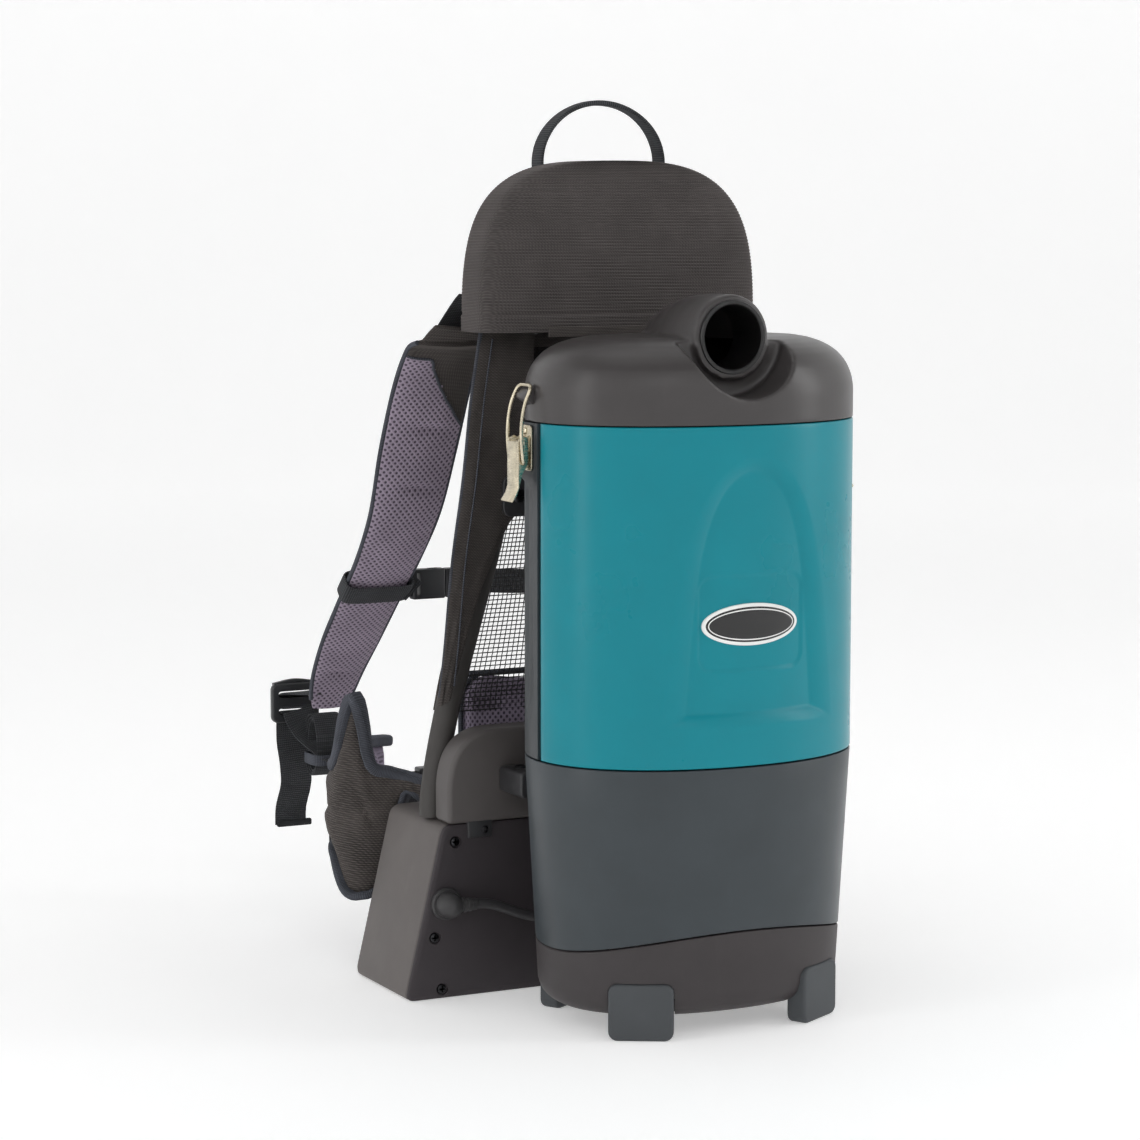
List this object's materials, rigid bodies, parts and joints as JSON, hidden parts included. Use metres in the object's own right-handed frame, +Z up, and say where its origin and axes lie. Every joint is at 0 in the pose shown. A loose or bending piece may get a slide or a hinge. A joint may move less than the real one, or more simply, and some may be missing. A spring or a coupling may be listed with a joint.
{
  "type": "backpack vacuum cleaner",
  "caption": "Battery backpack vacuum cleaner with an oval canister, latched lid with hose port, battery box and padded harness on a tube frame.",
  "frame": {"origin": "on the floor under the middle of the machine, between the canister feet and the wearer side of the harness", "axes": "+Z up, -Y out of the canister face that carries the hose port, +Y towards the wearer, +X to the side with the power switch"},
  "size_m": [0.3156, 0.498, 0.6],
  "materials": {
    "shell_grey": "satin moulded",
    "teal": "satin gloss moulded",
    "badge": "gloss, blank",
    "housing_grey": "satin moulded",
    "base_grey": "fine texture",
    "foot_rubber": "matte",
    "lid_grey": "satin moulded",
    "seal": "matte",
    "port_black": "satin",
    "bag_paper": "non-woven cloth",
    "card": "pressed card",
    "filter_cloth": "felt",
    "deck": "moulded",
    "motor_metal": "machined",
    "board": "lacquered board",
    "latch_steel": "nickel plated",
    "box_side": "fine texture",
    "box_front": "fine texture",
    "battery": "moulded",
    "gland": "matte",
    "lead": "matte jacket",
    "switch_black": "satin",
    "rocker": "satin",
    "cap_rubber": "matte",
    "frame_black": "powder coat",
    "mount_plastic": "fine texture",
    "bracket_black": "moulded",
    "back_mesh": "open air mesh",
    "air_mesh": "spacer mesh",
    "hood_fabric": "ribbed weave",
    "sleeve_fabric": "ribbed weave",
    "webbing": "woven webbing",
    "belt_fabric": "padded woven cloth",
    "buckle_black": "acetal"
  },
  "bodies": {
    "frame": {"back_mesh_panel": "back_mesh", "badge_plate": "badge", "bag_collar": "card", "base_cap": "base_grey", "battery_cover": "box_front", "battery_gland": "gland", "battery_lead": "lead", "battery_pack": "battery", "battery_tray": "box_side", "belt_buckle_socket": "buckle_black", "canister_gland": "gland", "canister_shell": "shell_grey", "carry_handle": "webbing", "charge_socket": "switch_black", "control_board": "board", "dust_bag": "bag_paper", "exhaust_filter": "filter_cloth", "foot_front_left": "foot_rubber", "foot_front_right": "foot_rubber", "foot_rear_left": "foot_rubber", "foot_rear_right": "foot_rubber", "frame_sleeve_left": "sleeve_fabric", "frame_sleeve_right": "sleeve_fabric", "frame_top_bow": "frame_black", "frame_tube_left": "frame_black", "frame_tube_right": "frame_black", "front_cover": "teal", "hip_belt_left": "belt_fabric", "hip_belt_right": "belt_fabric", "hood_cover": "hood_fabric", "ladder_lock_left": "buckle_black", "ladder_lock_right": "buckle_black", "latch_bracket_left": "latch_steel", "latch_bracket_right": "latch_steel", "lower_bracket_left": "bracket_black", "lower_bracket_right": "bracket_black", "lumbar_mount": "mount_plastic", "lumbar_pad": "air_mesh", "motor_can": "motor_metal", "motor_deck": "deck", "motor_filter": "filter_cloth", "motor_housing": "housing_grey", "motor_seal": "seal", "shoulder_strap_left": "air_mesh", "shoulder_strap_right": "air_mesh", "sternum_buckle_socket": "buckle_black", "switch_bezel": "switch_black", "upper_bracket": "bracket_black"},
    "lid": {"lid": "lid_grey", "lid_gasket": "seal", "hose_port_collar": "port_black"},
    "latch_lever_left": {"latch_lever_left": "latch_steel"},
    "latch_lever_right": {"latch_lever_right": "latch_steel"},
    "latch_bail_left": {"latch_bail_left": "latch_steel"},
    "latch_bail_right": {"latch_bail_right": "latch_steel"},
    "rotor": {"motor_rotor": "motor_metal"},
    "rocker": {"rocker_switch": "rocker"},
    "charge_cap": {"charge_socket_cap": "cap_rubber"},
    "belt_plug": {"belt_buckle_plug": "buckle_black"},
    "sternum_plug": {"sternum_buckle_plug": "buckle_black"}
  },
  "joints": [
    {"name": "lid_lift", "type": "slide", "parent": "frame", "child": "lid", "axis": [0, 0, 1], "range_m": [0, 0.05]},
    {"name": "latch_lever_left_swing", "type": "hinge", "parent": "frame", "child": "latch_lever_left", "pos_m": [-0.1185, -0.154, 0.38], "axis": [0, 1, 0], "range_deg": [0, 100]},
    {"name": "latch_bail_left_swing", "type": "hinge", "parent": "latch_lever_left", "child": "latch_bail_left", "pos_m": [-0.119, -0.154, 0.367], "axis": [0, -1, 0], "range_deg": [0, 160]},
    {"name": "latch_lever_right_swing", "type": "hinge", "parent": "frame", "child": "latch_lever_right", "pos_m": [0.1185, -0.154, 0.38], "axis": [0, -1, 0], "range_deg": [0, 100]},
    {"name": "latch_bail_right_swing", "type": "hinge", "parent": "latch_lever_right", "child": "latch_bail_right", "pos_m": [0.119, -0.154, 0.367], "axis": [0, 1, 0], "range_deg": [0, 160]},
    {"name": "motor_spin", "type": "hinge", "parent": "frame", "child": "rotor", "pos_m": [0, -0.165, 0.12], "axis": [0, 0, 1], "continuous": true},
    {"name": "power_rocker", "type": "hinge", "parent": "frame", "child": "rocker", "pos_m": [0.14192, -0.037, 0.072], "axis": [0, 1, 0], "range_deg": [0, 16]},
    {"name": "charge_cap_open", "type": "hinge", "parent": "frame", "child": "charge_cap", "pos_m": [0.14289, 0.001, 0.0861], "axis": [0, -1, 0], "range_deg": [0, 110]},
    {"name": "belt_buckle_release", "type": "slide", "parent": "frame", "child": "belt_plug", "axis": [1, 0, 0], "range_m": [0, 0.026]},
    {"name": "sternum_buckle_release", "type": "slide", "parent": "frame", "child": "sternum_plug", "axis": [1, 0, 0], "range_m": [0, 0.018]}
  ],
  "couplings": [
    {"joint": "latch_lever_left_swing", "follows": "lid_lift", "rad_per_m": 34.9},
    {"joint": "latch_bail_left_swing", "follows": "lid_lift", "rad_per_m": 55.84},
    {"joint": "latch_lever_right_swing", "follows": "lid_lift", "rad_per_m": 34.9},
    {"joint": "latch_bail_right_swing", "follows": "lid_lift", "rad_per_m": 55.84}
  ]
}
